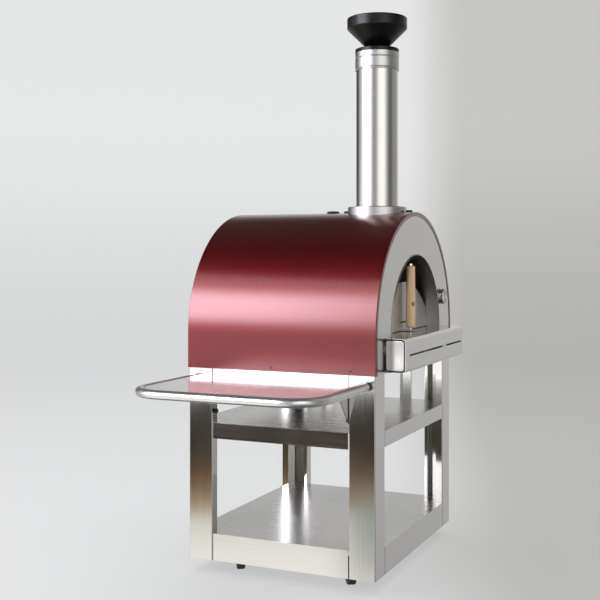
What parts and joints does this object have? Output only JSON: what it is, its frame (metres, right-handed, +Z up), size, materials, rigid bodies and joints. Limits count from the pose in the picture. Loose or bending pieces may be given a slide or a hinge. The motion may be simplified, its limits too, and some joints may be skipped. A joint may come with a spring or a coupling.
{
  "type": "wood fired pizza oven",
  "caption": "Vaulted outdoor oven on a rolling sheet-steel cart, with an arched mouth and lift-out door, a landing, a chimney with a cap, a thermometer and a folding side shelf.",
  "frame": {"origin": "on the floor, below the middle of the whole object's bounding box", "axes": "+Z up, -Y out of the oven mouth, -X towards the folding shelf"},
  "size_m": [1.4155, 0.836, 2.138],
  "materials": {
    "brushed_steel": "brushed",
    "polished_steel": "polished",
    "red_enamel": "glossy metallic",
    "black_paint": "semi-gloss",
    "dark_zinc": "satin",
    "black_plastic": "matte",
    "light_wood": "oiled",
    "gauge_glass": "clear",
    "white_dial": "matte",
    "needle_paint": "matte",
    "insulation_wool": "fibrous",
    "insulation_board": "matte",
    "refractory_tile": "matte",
    "wheel_rubber": "matte"
  },
  "bodies": {
    "cart": {"back_panel": "brushed_steel", "cap_holder": "brushed_steel", "caster_plates": "dark_zinc", "chimney_cap": "black_paint", "crest_plugs": "black_plastic", "dome_back_wall": "brushed_steel", "floor_board": "insulation_board", "flue_collar": "brushed_steel", "flue_flange": "polished_steel", "flue_pipe": "brushed_steel", "flue_top_ring": "black_paint", "front_panel": "brushed_steel", "gauge_bezel": "polished_steel", "gauge_case": "polished_steel", "gauge_dial": "white_dial", "gauge_lens": "gauge_glass", "gauge_probe": "brushed_steel", "hearth_tiles": "refractory_tile", "inner_dome": "brushed_steel", "insulation_blanket": "insulation_wool", "landing_end_left": "polished_steel", "landing_end_right": "polished_steel", "landing_wrap": "polished_steel", "leg_back_left": "brushed_steel", "leg_back_right": "brushed_steel", "leg_front_left": "brushed_steel", "leg_front_right": "brushed_steel", "lower_shelf": "brushed_steel", "middle_shelf": "brushed_steel", "mouth_sleeve": "brushed_steel", "outer_shell": "red_enamel", "oven_base": "brushed_steel", "shell_screws": "dark_zinc", "side_upright_back": "brushed_steel", "side_upright_front": "brushed_steel", "side_shelf_pivots": "brushed_steel"},
    "side_shelf": {"side_shelf_rail": "brushed_steel", "side_shelf_panel": "polished_steel", "side_shelf_plugs": "black_plastic", "side_shelf_bracket_front": "brushed_steel", "side_shelf_bracket_back": "brushed_steel"},
    "knob_front": {"bracket_knob_front": "black_plastic"},
    "knob_back": {"bracket_knob_back": "black_plastic"},
    "door": {"door_plate": "polished_steel", "door_handle_rod": "brushed_steel", "door_handle_grip": "light_wood", "door_handle_nut": "polished_steel"},
    "needle": {"gauge_needle": "needle_paint"},
    "caster_front_left": {"caster_fork_front_left": "dark_zinc", "caster_axle_front_left": "dark_zinc"},
    "wheel_front_left": {"caster_wheel_front_left": "wheel_rubber"},
    "caster_front_right": {"caster_fork_front_right": "dark_zinc", "caster_axle_front_right": "dark_zinc"},
    "wheel_front_right": {"caster_wheel_front_right": "wheel_rubber"},
    "caster_back_left": {"caster_fork_back_left": "dark_zinc", "caster_axle_back_left": "dark_zinc"},
    "wheel_back_left": {"caster_wheel_back_left": "wheel_rubber"},
    "caster_back_right": {"caster_fork_back_right": "dark_zinc", "caster_axle_back_right": "dark_zinc"},
    "wheel_back_right": {"caster_wheel_back_right": "wheel_rubber"}
  },
  "joints": [
    {"name": "side_shelf_fold", "type": "hinge", "parent": "cart", "child": "side_shelf", "pos_m": [-0.20675, 0.039, 0.695], "axis": [0, -1, 0], "range_deg": [0, 90]},
    {"name": "knob_front_turn", "type": "hinge", "parent": "side_shelf", "child": "knob_front", "pos_m": [-0.20675, -0.236, 0.609], "axis": [0, 1, 0], "range_deg": [0, 360]},
    {"name": "knob_back_turn", "type": "hinge", "parent": "side_shelf", "child": "knob_back", "pos_m": [-0.20675, 0.314, 0.609], "axis": [0, -1, 0], "range_deg": [0, 360]},
    {"name": "door_slide_out", "type": "slide", "parent": "cart", "child": "door", "axis": [0, -1, 0], "range_m": [0, 0.13]},
    {"name": "gauge_needle_turn", "type": "hinge", "parent": "cart", "child": "needle", "pos_m": [0.56825, -0.346, 1.021], "axis": [0, 1, 0], "range_deg": [0, 270]},
    {"name": "caster_swivel_front_left", "type": "hinge", "parent": "cart", "child": "caster_front_left", "pos_m": [-0.08975, -0.186, 0.13], "axis": [0, 0, 1], "continuous": true},
    {"name": "wheel_spin_front_left", "type": "hinge", "parent": "caster_front_left", "child": "wheel_front_left", "pos_m": [-0.12006, -0.2035, 0.05], "axis": [0.5, -0.866, 0], "continuous": true},
    {"name": "caster_swivel_front_right", "type": "hinge", "parent": "cart", "child": "caster_front_right", "pos_m": [0.57025, -0.186, 0.13], "axis": [0, 0, 1], "continuous": true},
    {"name": "wheel_spin_front_right", "type": "hinge", "parent": "caster_front_right", "child": "wheel_front_right", "pos_m": [0.53994, -0.2035, 0.05], "axis": [0.5, -0.866, 0], "continuous": true},
    {"name": "caster_swivel_back_left", "type": "hinge", "parent": "cart", "child": "caster_back_left", "pos_m": [-0.08975, 0.264, 0.13], "axis": [0, 0, 1], "continuous": true},
    {"name": "wheel_spin_back_left", "type": "hinge", "parent": "caster_back_left", "child": "wheel_back_left", "pos_m": [-0.12006, 0.2465, 0.05], "axis": [0.5, -0.866, 0], "continuous": true},
    {"name": "caster_swivel_back_right", "type": "hinge", "parent": "cart", "child": "caster_back_right", "pos_m": [0.57025, 0.264, 0.13], "axis": [0, 0, 1], "continuous": true},
    {"name": "wheel_spin_back_right", "type": "hinge", "parent": "caster_back_right", "child": "wheel_back_right", "pos_m": [0.53994, 0.2465, 0.05], "axis": [0.5, -0.866, 0], "continuous": true}
  ]
}
